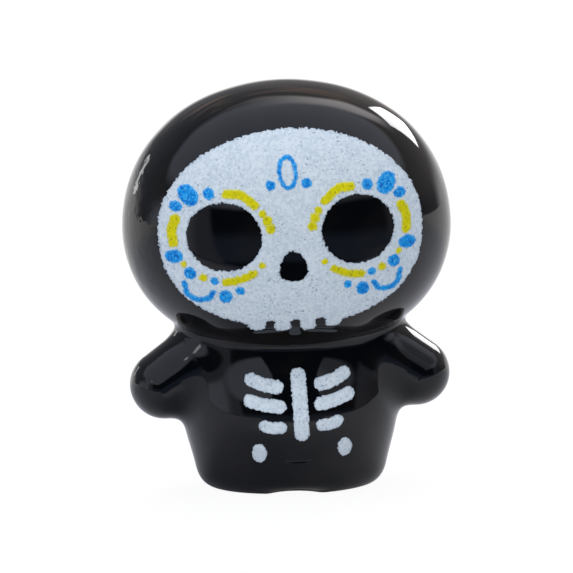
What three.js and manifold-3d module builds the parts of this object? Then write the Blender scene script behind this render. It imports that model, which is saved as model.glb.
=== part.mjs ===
// A small black figure in one piece, with a sugar-skull face and ribs printed on it in three inks.
// Millimetres, +Z up. The figure stands on z = 0 and faces -Y. Left and right are the figure's own.
import * as THREE from 'three';
import { mergeVertices } from 'three/addons/utils/BufferGeometryUtils.js';
import Module from 'manifold-3d';

const wasm = await Module();
wasm.setup();

// Head: an egg of two half ellipsoids that meet at HEAD_Z, a little fuller between level and upright.
const HEAD_HALF_WIDTH = 11.25;
const HEAD_HALF_DEPTH = 9.6;
const HEAD_Z = 18.07;
const HEAD_RISE = 9.93;
const HEAD_DROP = 8.75;
const HEAD_FULLNESS_ABOVE = 0.017;
const HEAD_FULLNESS_BELOW = 0.024;

// Body: oval sections that widen from the base up to the belly. Above it they grow shallower up to the neck.
const BASE_HALF_WIDTH = 6.45;
const BASE_HALF_DEPTH = 5.0;
const BASE_EDGE = 1.5;
const CHEST_HALF_WIDTH = 7.5;
const CHEST_HALF_DEPTH = 6.7;
const CHEST_Z = 5.85;
const NECK_HALF_DEPTH = 5.4;
const NECK_Z = HEAD_Z - 0.85 * HEAD_DROP;
const CLEFT_HALF_WIDTH = 1.5;
const CLEFT_DEPTH = 1.6;
const CLEFT_HEIGHT = 0.3;

// Arms: tapered rolls from shoulder to hand, a little deeper than they are wide. The left one sits higher.
const SHOULDER_X = CHEST_HALF_WIDTH - 1.4;
const SHOULDER_Z = 8.95;
const SHOULDER_RADIUS = 2.55;
const HAND_X = CHEST_HALF_WIDTH + 1.15;
const HAND_Z = 7.3;
const HAND_RADIUS = 2.36;
const LEFT_ARM_LIFT = 0.4;
const ARM_DEPTH_RATIO = 1.2;
const ARM_Y = -0.4;

// Widths of the soft blends where the forms run together.
const NECK_BLEND = 0.5;
const ARM_BLEND = 1.3;
const CLEFT_BLEND = 0.8;

// Ink: white lies on the figure, blue and yellow lie on the white.
const INK_SEAT = 0.03;
const WHITE_THICKNESS = 0.08;
const COLOUR_THICKNESS = 0.07;

// The whole print sits slightly turned on the figure, about a point at the chin.
const PRINT_TURN = THREE.MathUtils.degToRad(2.3);
const PRINT_PIVOT_Z = HEAD_Z - 0.62 * HEAD_DROP;

// Face print, tied to the head. The ornament around an eye is laid out in eye radii.
const FACE_X = 0.12;
const FACE_HALF_WIDTH = 0.785 * HEAD_HALF_WIDTH;
const FACE_HALF_HEIGHT = 0.66 * HEAD_RISE;
const FACE_Z = HEAD_Z + 0.08 * HEAD_RISE;
const JAW_SQUARENESS = 2.4;
const EYE_RADIUS = 0.22 * HEAD_HALF_WIDTH;
const EYE_OPENING_WIDTH = 0.99;
const EYE_OPENING_HEIGHT = 0.915;
const EYE_X = 0.395 * HEAD_HALF_WIDTH;
const EYE_Z = HEAD_Z + 0.062 * HEAD_RISE;
const NOSE_Z = HEAD_Z - 0.153 * HEAD_RISE;
const NOSE_HALF_WIDTH = 0.36 * EYE_RADIUS;
const NOSE_HALF_HEIGHT = 0.43 * EYE_RADIUS;
const NOSE_TAPER = 0.24;
const FOREHEAD_Z = HEAD_Z + 0.468 * HEAD_RISE;
const TOOTH_PITCH = 0.68 * EYE_RADIUS;
const TOOTH_HALF_WIDTH = 0.21 * EYE_RADIUS;
const TOOTH_DROP = 0.16 * EYE_RADIUS;
const TOOTH_GAP_RISE = 0.18 * EYE_RADIUS;

// Facets around the figure and around an arm, and passes that even them out where the two meet.
const BODY_COLUMNS = 56;
const ARM_COLUMNS = 24;
const EVENING_PASSES = 30;

const black = { color: 0x0b0c0e, roughness: 0.06, metalness: 0 };
const white = { color: 0xd0d7df, roughness: 0.75, metalness: 0 };
const blue = { color: 0x2585d6, roughness: 0.7, metalness: 0 };
const yellow = { color: 0xc9c312, roughness: 0.7, metalness: 0 };

// Distance of the lower of two forms, with a soft valley of the given width between them.
function softMin(a, b, width) {
  const share = Math.min(Math.max(0.5 + (0.5 * (b - a)) / width, 0), 1);
  return b + (a - b) * share - width * share * (1 - share);
}

function softMax(a, b, width) {
  return -softMin(-a, -b, width);
}

// Near distance to an ellipsoid, or to an oval when z is left at 0.
function ovalDistance(x, y, z, rx, ry, rz) {
  const near = Math.hypot(x / rx, y / ry, z / rz);
  const slope = Math.hypot(x / (rx * rx), y / (ry * ry), z / (rz * rz));
  return (near * (near - 1)) / Math.max(slope, 1e-9);
}

function headDistance(x, y, z) {
  const above = z > HEAD_Z;
  const rise = above ? HEAD_RISE : HEAD_DROP;
  const fullness = above ? HEAD_FULLNESS_ABOVE : HEAD_FULLNESS_BELOW;
  const level = (x / HEAD_HALF_WIDTH) ** 2 + (y / HEAD_HALF_DEPTH) ** 2;
  const upright = ((z - HEAD_Z) / rise) ** 2;
  const fuller = 1 + (fullness * 4 * level * upright) / Math.max(level + upright, 1e-9) ** 2;
  const lift = (z - HEAD_Z) / fuller;
  return fuller * ovalDistance(x / fuller, y / fuller, lift, HEAD_HALF_WIDTH, HEAD_HALF_DEPTH, rise);
}

// Half width and half depth of the body at a height.
function bodySection(z) {
  const share = THREE.MathUtils.smoothstep(z, 0, CHEST_Z);
  const drawnIn = (CHEST_HALF_DEPTH - NECK_HALF_DEPTH) * THREE.MathUtils.smoothstep(z, CHEST_Z, NECK_Z);
  return {
    width: THREE.MathUtils.lerp(BASE_HALF_WIDTH, CHEST_HALF_WIDTH, share),
    depth: THREE.MathUtils.lerp(BASE_HALF_DEPTH, CHEST_HALF_DEPTH, share) - drawnIn,
  };
}

// The body with its rounded foot, open at the top inside the head, and the short cleft in front.
function bodyDistance(x, y, z) {
  const section = bodySection(z);
  const side = ovalDistance(x, y, 0, section.width, section.depth, 1);
  const foot = softMax(side, -z, BASE_EDGE);
  const capped = Math.max(foot, z - HEAD_Z);
  const cut = ovalDistance(x, y + BASE_HALF_DEPTH, z, CLEFT_HALF_WIDTH, CLEFT_DEPTH, CLEFT_HEIGHT);
  return softMax(capped, -cut, CLEFT_BLEND);
}

function armDistance(x, y, z) {
  const alongX = HAND_X - SHOULDER_X;
  const alongZ = HAND_Z - SHOULDER_Z;
  const fromX = Math.abs(x) - SHOULDER_X;
  const fromZ = z - SHOULDER_Z - (x > 0 ? LEFT_ARM_LIFT : 0);
  const run = (fromX * alongX + fromZ * alongZ) / (alongX * alongX + alongZ * alongZ);
  const share = Math.min(Math.max(run, 0), 1);
  const radius = THREE.MathUtils.lerp(SHOULDER_RADIUS, HAND_RADIUS, share);
  const off = Math.hypot(fromX - share * alongX, (y - ARM_Y) / ARM_DEPTH_RATIO, fromZ - share * alongZ);
  return off - radius;
}

// The trunk is head and body without the arms. All the ink lies on the trunk.
function trunkDistance(x, y, z) {
  return Math.max(softMin(bodyDistance(x, y, z), headDistance(x, y, z), NECK_BLEND), -z);
}

function figureDistance(x, y, z) {
  const withArms = softMin(bodyDistance(x, y, z), armDistance(x, y, z), ARM_BLEND);
  return Math.max(softMin(withArms, headDistance(x, y, z), NECK_BLEND), -z);
}

// Moves every vertex along the slope of a form until it lies at a level above that form's surface.
function settle(geometry, distance, level) {
  const position = geometry.getAttribute('position');
  const step = 0.002;
  for (let i = 0; i < position.count; i += 1) {
    const p = new THREE.Vector3().fromBufferAttribute(position, i);
    const onFloor = p.z < 1e-6;
    for (let pass = 0; pass < 12; pass += 1) {
      const here = distance(p.x, p.y, p.z) - level;
      const slope = new THREE.Vector3(
        distance(p.x + step, p.y, p.z) - distance(p.x - step, p.y, p.z),
        distance(p.x, p.y + step, p.z) - distance(p.x, p.y - step, p.z),
        onFloor ? 0 : distance(p.x, p.y, p.z + step) - distance(p.x, p.y, p.z - step),
      ).divideScalar(2 * step);
      if (slope.lengthSq() > 1e-6) {
        p.addScaledVector(slope, (-0.9 * here) / slope.lengthSq());
      }
    }
    position.setXYZ(i, p.x, p.y, onFloor ? 0 : Math.max(p.z, 0));
  }
  return geometry;
}

// A closed skin over rings of equal count, with a point at each end.
function skin(first, rings, last) {
  const columns = rings[0].length;
  const points = [first, ...rings.flat(), last];
  const triangles = [];
  const end = points.length - 1;
  for (let i = 0; i < columns; i += 1) {
    const next = (i + 1) % columns;
    triangles.push(0, 1 + next, 1 + i);
    for (let row = 0; row + 1 < rings.length; row += 1) {
      const low = 1 + row * columns;
      const high = low + columns;
      triangles.push(low + i, low + next, high + next, low + i, high + next, high + i);
    }
    const top = 1 + (rings.length - 1) * columns;
    triangles.push(top + i, top + next, end);
  }
  const geometry = new THREE.BufferGeometry().setFromPoints(points);
  geometry.setIndex(triangles);
  return geometry;
}

function ovalRing(width, depth, z) {
  const ring = [];
  for (let i = 0; i < BODY_COLUMNS; i += 1) {
    const turn = (2 * Math.PI * (i + 0.5)) / BODY_COLUMNS;
    ring.push(new THREE.Vector3(width * Math.cos(turn), depth * Math.sin(turn), z));
  }
  return ring;
}

// A ring around the body whose height follows the line where the body meets the head.
function bodyRing(heightAt) {
  return ovalRing(CHEST_HALF_WIDTH, NECK_HALF_DEPTH, 0).map((p) => {
    const near = Math.hypot(p.x / HEAD_HALF_WIDTH, p.y / HEAD_HALF_DEPTH);
    const neckZ = HEAD_Z - HEAD_DROP * Math.sqrt(1 - near * near);
    const z = heightAt(neckZ);
    const section = bodySection(z);
    const x = (p.x * section.width) / CHEST_HALF_WIDTH;
    return new THREE.Vector3(x, (p.y * section.depth) / NECK_HALF_DEPTH, z);
  });
}

// Rings of the trunk from the flat base over the neck to the crown.
function trunkGeometry() {
  const rings = [];
  const footRows = 5;
  for (let row = 0; row <= footRows; row += 1) {
    const turn = (0.5 * Math.PI * row) / footRows;
    const z = BASE_EDGE * (1 - Math.cos(turn));
    const inset = BASE_EDGE * (1 - Math.sin(turn));
    const section = bodySection(z);
    rings.push(ovalRing(section.width - inset, section.depth - inset, z));
  }
  const bodyRows = 10;
  for (let row = 1; row <= bodyRows; row += 1) {
    rings.push(bodyRing((neckZ) => THREE.MathUtils.lerp(BASE_EDGE, neckZ - NECK_BLEND, row / bodyRows)));
  }
  for (const share of [-0.6, -0.25, 0.1, 0.45]) {
    rings.push(bodyRing((neckZ) => neckZ + share * NECK_BLEND));
  }
  const startTurn = -Math.acos((CHEST_HALF_WIDTH + NECK_BLEND) / HEAD_HALF_WIDTH);
  const headRows = 22;
  for (let row = 0; row < headRows; row += 1) {
    const turn = THREE.MathUtils.lerp(startTurn, 0.5 * Math.PI, row / headRows);
    const z = HEAD_Z + Math.sin(turn) * (turn > 0 ? HEAD_RISE : HEAD_DROP);
    const width = HEAD_HALF_WIDTH * Math.cos(turn);
    rings.push(ovalRing(width, HEAD_HALF_DEPTH * Math.cos(turn), z));
  }
  return skin(new THREE.Vector3(0, 0, 0), rings, new THREE.Vector3(0, 0, HEAD_Z + HEAD_RISE));
}

// One arm as a roll along its own axis, side +1 for the figure's left at +X.
function armGeometry(side) {
  const rings = [];
  const from = new THREE.Vector3(SHOULDER_X, ARM_Y, SHOULDER_Z);
  const to = new THREE.Vector3(HAND_X, ARM_Y, HAND_Z);
  const along = to.clone().sub(from).normalize();
  const across = new THREE.Vector3(-along.z, 0, along.x);
  const ringAt = (centre, radius, shift) => {
    const ring = [];
    for (let i = 0; i < ARM_COLUMNS; i += 1) {
      const turn = (2 * Math.PI * i) / ARM_COLUMNS;
      const p = centre.clone().addScaledVector(along, shift);
      p.addScaledVector(across, radius * Math.sin(turn));
      p.y += ARM_DEPTH_RATIO * radius * Math.cos(turn);
      ring.push(p);
    }
    return ring;
  };
  const capRows = 6;
  for (let row = 1; row <= capRows; row += 1) {
    const turn = (0.5 * Math.PI * row) / capRows;
    rings.push(ringAt(from, SHOULDER_RADIUS * Math.sin(turn), -SHOULDER_RADIUS * Math.cos(turn)));
  }
  for (const share of [0.33, 0.66]) {
    const centre = from.clone().lerp(to, share);
    rings.push(ringAt(centre, THREE.MathUtils.lerp(SHOULDER_RADIUS, HAND_RADIUS, share), 0));
  }
  for (let row = capRows; row >= 1; row -= 1) {
    const turn = (0.5 * Math.PI * row) / capRows;
    rings.push(ringAt(to, HAND_RADIUS * Math.sin(turn), HAND_RADIUS * Math.cos(turn)));
  }
  const first = from.clone().addScaledVector(along, -SHOULDER_RADIUS);
  const last = to.clone().addScaledVector(along, HAND_RADIUS);
  const geometry = skin(first, rings, last);
  if (side > 0) {
    return geometry.translate(0, 0, LEFT_ARM_LIFT);
  }
  geometry.scale(-1, 1, 1);
  geometry.setIndex(Array.from(geometry.getIndex().array).reverse());
  return geometry;
}

function toSolid(geometry) {
  const bare = geometry.clone();
  bare.deleteAttribute('normal');
  bare.deleteAttribute('uv');
  const joined = mergeVertices(bare, 1e-5);
  return new wasm.Manifold(new wasm.Mesh({
    numProp: 3,
    vertProperties: new Float32Array(joined.getAttribute('position').array),
    triVerts: new Uint32Array(joined.getIndex().array),
  }));
}

function toGeometry(solid) {
  const mesh = solid.getMesh();
  const geometry = new THREE.BufferGeometry();
  geometry.setAttribute('position', new THREE.BufferAttribute(new Float32Array(mesh.vertProperties), 3));
  geometry.setIndex(new THREE.BufferAttribute(new Uint32Array(mesh.triVerts), 1));
  return geometry;
}

// Evens out the vertices where arms and trunk run together, so that no facet there folds over.
function evenOut(geometry) {
  const position = geometry.getAttribute('position');
  const index = geometry.getIndex();
  const neighbours = Array.from({ length: position.count }, () => new Set());
  for (let i = 0; i < index.count; i += 1) {
    const from = index.getX(i);
    const to = index.getX(i % 3 === 2 ? i - 2 : i + 1);
    neighbours[from].add(to);
    neighbours[to].add(from);
  }
  for (let pass = 0; pass < EVENING_PASSES; pass += 1) {
    const places = neighbours.map((_, i) => new THREE.Vector3().fromBufferAttribute(position, i));
    places.forEach((p, i) => {
      const offArm = Math.abs(armDistance(p.x, p.y, p.z));
      const offTrunk = Math.abs(trunkDistance(p.x, p.y, p.z));
      if (Math.max(offArm, offTrunk) < ARM_BLEND) {
        const middle = new THREE.Vector3();
        neighbours[i].forEach((k) => middle.add(places[k]));
        middle.divideScalar(neighbours[i].size).lerp(p, 0.4);
        position.setXYZ(i, middle.x, middle.y, middle.z);
      }
    });
  }
  return geometry;
}

const group = new THREE.Group();
group.name = 'sugar_skull_figure';

function addPiece(name, geometry, look) {
  geometry.computeVertexNormals();
  const mesh = new THREE.Mesh(geometry, new THREE.MeshStandardMaterial(look));
  mesh.name = name;
  group.add(mesh);
}

const trunk = toSolid(settle(trunkGeometry(), trunkDistance, 0));
const arms = toSolid(armGeometry(1)).add(toSolid(armGeometry(-1)));
addPiece('figure', settle(evenOut(toGeometry(trunk.add(arms))), figureDistance, 0), black);

// An even layer over the trunk between two levels. Each patch of ink is a piece cut out of it.
function layer(bottom, thickness) {
  const outer = toSolid(settle(trunkGeometry(), trunkDistance, bottom + thickness));
  const inner = toSolid(settle(trunkGeometry(), trunkDistance, bottom));
  return outer.subtract(inner);
}

const whiteLayer = layer(INK_SEAT, WHITE_THICKNESS);
const colourLayer = layer(INK_SEAT + WHITE_THICKNESS + INK_SEAT, COLOUR_THICKNESS);

// The ink falls straight back along +Y, so a patch is the layer inside its outline seen from the front.
function addInk(name, inkLayer, shape, look) {
  const depth = HEAD_HALF_DEPTH + 1;
  const prism = new THREE.ExtrudeGeometry(shape, { depth, bevelEnabled: false, curveSegments: 1 });
  prism.rotateX(Math.PI / 2);
  prism.translate(0, 0, -PRINT_PIVOT_Z).rotateY(-PRINT_TURN).translate(0, 0, PRINT_PIVOT_Z);
  addPiece(name, toGeometry(inkLayer.intersect(toSolid(prism))), look);
}

function ovalPoints(x, z, rx, rz, count) {
  const points = [];
  for (let i = 0; i < count; i += 1) {
    const turn = (2 * Math.PI * i) / count;
    points.push(new THREE.Vector2(x + rx * Math.cos(turn), z + rz * Math.sin(turn)));
  }
  return points;
}

function ovalShape(x, z, rx, rz) {
  return new THREE.Shape(ovalPoints(x, z, rx, rz, 14));
}

// A stroke of even width with round ends along a smooth line through the given places.
function strokeShape(places, halfWidth) {
  const line = new THREE.SplineCurve(places.map(([x, z]) => new THREE.Vector2(x, z)));
  const runs = places.length > 2 ? 8 : 2;
  const outline = [];
  const walk = (share, turn) => {
    const p = line.getPoint(share);
    const way = line.getTangent(share).rotateAround(new THREE.Vector2(), turn);
    outline.push(p.addScaledVector(way, halfWidth));
  };
  for (let i = 0; i <= runs; i += 1) {
    walk(i / runs, -0.5 * Math.PI);
  }
  for (const turn of [-0.3, -0.1, 0.1, 0.3]) {
    walk(1, turn * Math.PI);
  }
  for (let i = runs; i >= 0; i -= 1) {
    walk(i / runs, 0.5 * Math.PI);
  }
  for (const turn of [0.7, 0.9, 1.1, 1.3]) {
    walk(0, turn * Math.PI);
  }
  return new THREE.Shape(outline);
}

// White face: round above, squarer at the jaw, with four teeth, and open at the eyes and the nose.
function faceShape() {
  const half = 1.5 * TOOTH_PITCH + TOOTH_HALF_WIDTH;
  const outline = [];
  const steps = 72;
  for (let i = 0; i <= steps; i += 1) {
    const turn = -0.5 * Math.PI + (2 * Math.PI * i) / steps;
    const power = Math.sin(turn) < 0 ? 2 / JAW_SQUARENESS : 1;
    const x = FACE_X + FACE_HALF_WIDTH * Math.sign(Math.cos(turn)) * Math.abs(Math.cos(turn)) ** power;
    const z = FACE_Z + FACE_HALF_HEIGHT * Math.sign(Math.sin(turn)) * Math.abs(Math.sin(turn)) ** power;
    if (z > FACE_Z || Math.abs(x) > half + 0.1 * EYE_RADIUS) {
      outline.push(new THREE.Vector2(x, z));
    }
  }
  const jawZ = FACE_Z - FACE_HALF_HEIGHT;
  const gapZ = jawZ + TOOTH_GAP_RISE;
  for (const place of [-1.5, -0.5, 0.5, 1.5]) {
    const x = place * TOOTH_PITCH;
    const corner = 0.4 * TOOTH_HALF_WIDTH;
    const low = jawZ - TOOTH_DROP;
    const startZ = place < -1 ? jawZ + 0.02 * EYE_RADIUS : gapZ;
    const endZ = place > 1 ? jawZ + 0.02 * EYE_RADIUS : gapZ;
    outline.push(new THREE.Vector2(x - TOOTH_HALF_WIDTH, startZ));
    outline.push(new THREE.Vector2(x - TOOTH_HALF_WIDTH, low + corner));
    outline.push(new THREE.Vector2(x - TOOTH_HALF_WIDTH + corner, low));
    outline.push(new THREE.Vector2(x + TOOTH_HALF_WIDTH - corner, low));
    outline.push(new THREE.Vector2(x + TOOTH_HALF_WIDTH, low + corner));
    outline.push(new THREE.Vector2(x + TOOTH_HALF_WIDTH, endZ));
  }
  const shape = new THREE.Shape(outline);
  for (const side of [1, -1]) {
    const halfWidth = EYE_OPENING_WIDTH * EYE_RADIUS;
    const halfHeight = EYE_OPENING_HEIGHT * EYE_RADIUS;
    shape.holes.push(new THREE.Path(ovalPoints(side * EYE_X, EYE_Z, halfWidth, halfHeight, 32)));
  }
  shape.holes.push(new THREE.Path(nosePoints()));
  return shape;
}

// Nose: a drop with its narrow end up.
function nosePoints() {
  const points = [];
  for (let i = 0; i < 20; i += 1) {
    const turn = (2 * Math.PI * i) / 20;
    const narrow = 1 - NOSE_TAPER * Math.sin(turn);
    points.push(new THREE.Vector2(
      NOSE_HALF_WIDTH * Math.cos(turn) * narrow,
      NOSE_Z + NOSE_HALF_HEIGHT * Math.sin(turn),
    ));
  }
  return points;
}

addInk('face_white', whiteLayer, faceShape(), white);

// Chest print in white, tied to the chest: breastbone, three pairs of ribs and a pair of hip marks.
const CHEST_UNIT = CHEST_HALF_WIDTH / 7.5;
const RIB_TOP_Z = 1.4 * CHEST_Z;
addInk('sternum', whiteLayer, strokeShape([[0, RIB_TOP_Z + 0.3 * CHEST_UNIT], [0, RIB_TOP_Z - 3.53 * CHEST_UNIT]],
  0.58 * CHEST_UNIT), white);

// Rib rows from the top down: drop below the first row, inner and outer end, rise of the outer end, half width.
const RIBS = [
  { drop: 0, inner: 1.48, outer: 3.12, rise: 0.5, half: 0.53 },
  { drop: 1.36, inner: 1.38, outer: 3.3, rise: 0.42, half: 0.52 },
  { drop: 2.97, inner: 1.4, outer: 2.46, rise: 0.16, half: 0.45 },
];

// Ornament around one eye in eye radii from the eye's centre, outward and up.
const BLUE_DOTS = [
  { name: 'upper_inner', x: 0.33, z: 1.14, rx: 0.15, rz: 0.15 },
  { name: 'upper_large', x: 0.86, z: 1.11, rx: 0.26, rz: 0.27 },
  { name: 'upper_outer', x: 1.22, z: 0.82, rx: 0.17, rz: 0.14 },
  { name: 'side', x: 1.341, z: -0.52, rx: 0.244, rz: 0.187 },
  { name: 'lower_outer', x: 0.94, z: -0.98, rx: 0.172, rz: 0.172 },
  { name: 'lower_small', x: 0.31, z: -1.19, rx: 0.11, rz: 0.11 },
  { name: 'cheek', x: 0.045, z: -1.64, rx: 0.185, rz: 0.185 },
  { name: 'cheek_small', x: -0.36, z: -1.48, rx: 0.118, rz: 0.118 },
];
const BLUE_SCROLL = [[1.11, -1.27], [1.02, -1.6], [0.75, -1.73], [0.49, -1.69], [0.37, -1.51]];
const YELLOW_DOTS = [
  { name: 'brow_1', x: -1.05, z: 0.6, rx: 0.11, rz: 0.11 },
  { name: 'brow_2', x: -1.165, z: 0.41, rx: 0.14, rz: 0.14 },
  { name: 'brow_3', x: -1.24, z: 0.195, rx: 0.135, rz: 0.135 },
  { name: 'side', x: 1.093, z: -0.732, rx: 0.088, rz: 0.088 },
  { name: 'lower', x: 0.61, z: -1.098, rx: 0.112, rz: 0.112 },
  { name: 'inner', x: -0.955, z: -0.78, rx: 0.095, rz: 0.095 },
];
const YELLOW_STROKES = [
  { name: 'brow', half: 0.122, line: [[-0.13, 1.14], [-0.51, 1.106], [-0.862, 0.83]] },
  { name: 'outer', half: 0.15, line: [[1.24, 0.488], [1.36, 0.18], [1.341, -0.154]] },
  { name: 'under', half: 0.113, line: [[0.02, -1.224], [-0.36, -1.16], [-0.72, -1.0]] },
];

for (const [word, side] of [['left', 1], ['right', -1]]) {
  const chestAt = (x, z) => [side * x * CHEST_UNIT, RIB_TOP_Z + z * CHEST_UNIT];
  RIBS.forEach((rib, row) => {
    const middle = 0.5 * (rib.inner + rib.outer);
    const line = [
      chestAt(rib.inner, -rib.drop - 0.5 * rib.rise),
      chestAt(middle, -rib.drop - 0.08),
      chestAt(rib.outer, -rib.drop + 0.5 * rib.rise),
    ];
    addInk(`rib_${row + 1}_${word}`, whiteLayer, strokeShape(line, rib.half * CHEST_UNIT), white);
  });
  const hip = chestAt(2.9, -4.79);
  addInk(`hip_${word}`, whiteLayer, ovalShape(hip[0], hip[1], 0.49 * CHEST_UNIT, 0.64 * CHEST_UNIT), white);

  const eyeAt = ([x, z]) => [side * (EYE_X + x * EYE_RADIUS), EYE_Z + z * EYE_RADIUS];
  const addDot = (colour, dot, look) => {
    const [x, z] = eyeAt([dot.x, dot.z]);
    const shape = ovalShape(x, z, dot.rx * EYE_RADIUS, dot.rz * EYE_RADIUS);
    addInk(`${colour}_${dot.name}_${word}`, colourLayer, shape, look);
  };
  BLUE_DOTS.forEach((dot) => addDot('blue_dot', dot, blue));
  YELLOW_DOTS.forEach((dot) => addDot('yellow_dot', dot, yellow));
  addInk(`blue_scroll_${word}`, colourLayer, strokeShape(BLUE_SCROLL.map(eyeAt), 0.08 * EYE_RADIUS), blue);
  for (const stroke of YELLOW_STROKES) {
    const shape = strokeShape(stroke.line.map(eyeAt), stroke.half * EYE_RADIUS);
    addInk(`yellow_${stroke.name}_${word}`, colourLayer, shape, yellow);
  }
  const dotX = side * 0.484 * EYE_RADIUS;
  const dotZ = FOREHEAD_Z - 0.305 * EYE_RADIUS;
  addInk(`forehead_dot_${word}`, colourLayer, ovalShape(dotX, dotZ, 0.138 * EYE_RADIUS, 0.138 * EYE_RADIUS), blue);
}

// Forehead loop: an upright oval ring between the brows.
const loop = new THREE.Shape(ovalPoints(0, FOREHEAD_Z, 0.276 * EYE_RADIUS, 0.455 * EYE_RADIUS, 24));
loop.holes.push(new THREE.Path(ovalPoints(0, FOREHEAD_Z, 0.154 * EYE_RADIUS, 0.333 * EYE_RADIUS, 24)));
addInk('forehead_loop', colourLayer, loop, blue);

export default group;
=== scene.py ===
"""A small black stone figure with a sugar-skull face and ribs printed on it, dressed for its picture."""
import itertools
import math
import bpy
import numpy as np
from mathutils import Matrix, Vector


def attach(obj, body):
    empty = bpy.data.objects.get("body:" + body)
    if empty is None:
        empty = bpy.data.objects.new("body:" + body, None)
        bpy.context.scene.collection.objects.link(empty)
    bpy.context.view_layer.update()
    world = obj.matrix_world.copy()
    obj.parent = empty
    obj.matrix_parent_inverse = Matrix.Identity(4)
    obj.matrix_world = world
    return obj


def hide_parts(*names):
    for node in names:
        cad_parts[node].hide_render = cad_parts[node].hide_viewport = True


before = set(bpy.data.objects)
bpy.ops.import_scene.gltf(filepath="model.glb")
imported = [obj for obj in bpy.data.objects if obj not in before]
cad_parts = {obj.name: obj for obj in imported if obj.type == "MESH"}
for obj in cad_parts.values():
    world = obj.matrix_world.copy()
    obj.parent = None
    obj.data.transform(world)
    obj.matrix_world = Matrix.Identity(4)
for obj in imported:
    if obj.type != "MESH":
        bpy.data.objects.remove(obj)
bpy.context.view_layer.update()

MM = 0.001

# The stone's forms in millimetres, the same as in the part's source.
# The figure stands on Z = 0 and looks along -Y, and +X is on its left.
HEAD_HALF_WIDTH = 11.25
HEAD_HALF_DEPTH = 9.6
HEAD_Z = 18.07
HEAD_RISE = 9.93
HEAD_DROP = 8.75
HEAD_FULLNESS_ABOVE = 0.017
HEAD_FULLNESS_BELOW = 0.024
BASE_HALF_WIDTH = 6.45
BASE_HALF_DEPTH = 5.0
BASE_EDGE = 1.5
CHEST_HALF_WIDTH = 7.5
CHEST_HALF_DEPTH = 6.7
CHEST_Z = 5.85
NECK_HALF_DEPTH = 5.4
NECK_Z = HEAD_Z - 0.85 * HEAD_DROP
CLEFT_HALF_WIDTH = 1.5
CLEFT_DEPTH = 1.6
CLEFT_HEIGHT = 0.3
SHOULDER_X = CHEST_HALF_WIDTH - 1.4
SHOULDER_Z = 8.95
SHOULDER_RADIUS = 2.55
HAND_X = CHEST_HALF_WIDTH + 1.15
HAND_Z = 7.3
HAND_RADIUS = 2.36
LEFT_ARM_LIFT = 0.4
ARM_DEPTH_RATIO = 1.2
ARM_Y = -0.4
NECK_BLEND = 0.5
ARM_BLEND = 1.3
CLEFT_BLEND = 0.8

# Hand polishing leaves long, shallow waves. Their depth is a share of their length.
WAVE_COUNT = 14
WAVE_LENGTH_RANGE = (2.2, 6.0)
WAVE_DEPTH_SHARE = 0.0006

# How finely the stone is meshed, and how points are brought onto a surface.
SKIN_PITCH = 0.17
STEP_SHARE = 0.9
SETTLE_STEPS = 10
LIFT_STEPS = 60
LINE_STEPS = 8

# The print, laid out flat as it is seen from the front.
PRINT_TURN = math.radians(2.3)
PRINT_PIVOT_Z = HEAD_Z - 0.62 * HEAD_DROP
FACE_X = 0.12
FACE_HALF_WIDTH = 0.785 * HEAD_HALF_WIDTH
FACE_HALF_HEIGHT = 0.66 * HEAD_RISE
FACE_Z = HEAD_Z + 0.08 * HEAD_RISE
JAW_SQUARENESS = 2.4
JAW_STEEPNESS = 0.9
JAW_Z = FACE_Z - FACE_HALF_HEIGHT
EYE_RADIUS = 0.22 * HEAD_HALF_WIDTH
EYE_HALF_WIDTH = 0.99 * EYE_RADIUS
EYE_HALF_HEIGHT = 0.915 * EYE_RADIUS
EYE_X = 0.395 * HEAD_HALF_WIDTH
EYE_Z = HEAD_Z + 0.062 * HEAD_RISE
NOSE_HALF_WIDTH = 0.355 * EYE_RADIUS
NOSE_HALF_HEIGHT = 0.415 * EYE_RADIUS
NOSE_Z = HEAD_Z - 0.153 * HEAD_RISE + 0.03
NOSE_NARROWING = 0.24
NOSE_FLATNESS = 1.5
TOOTH_PITCH = 0.68 * EYE_RADIUS
TOOTH_HALF_WIDTH = 0.21 * EYE_RADIUS
TOOTH_END_Z = JAW_Z - 0.16 * EYE_RADIUS
TOOTH_ROOT_Z = JAW_Z + 0.5
TOOTH_ROUNDING = 0.4
TOOTH_BLEND = 0.06
OUTER_TOOTH_RISE = 0.08
OUTER_TOOTH_BLEND = 0.28
GAP_TOP_Z = JAW_Z + 0.18 * EYE_RADIUS
GAP_ROUNDING = 0.2
FOREHEAD_Z = HEAD_Z + 0.468 * HEAD_RISE
CHEST_PRINT_X = 0.05
RIB_TOP_Z = 1.4 * CHEST_Z
RIB_SAG = 0.08
STERNUM_TOP_Z = RIB_TOP_Z + 0.42
STERNUM_LOW_Z = RIB_TOP_Z - 3.46
STERNUM_HALF_WIDTH = 0.52
HIP_X = 2.9
HIP_Z = RIB_TOP_Z - 4.75
HIP_HALF_WIDTH = 0.5
HIP_HALF_HEIGHT = 0.69

# Each rib: how far below the top rib, its inner and outer end, its rise between them, its half width.
RIBS = (
    ("rib_1", -0.03, 1.48, 3.12, 0.5, 0.455),
    ("rib_2", 1.29, 1.38, 3.3, 0.42, 0.46),
    ("rib_3", 2.86, 1.4, 2.46, 0.16, 0.415),
)

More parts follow.
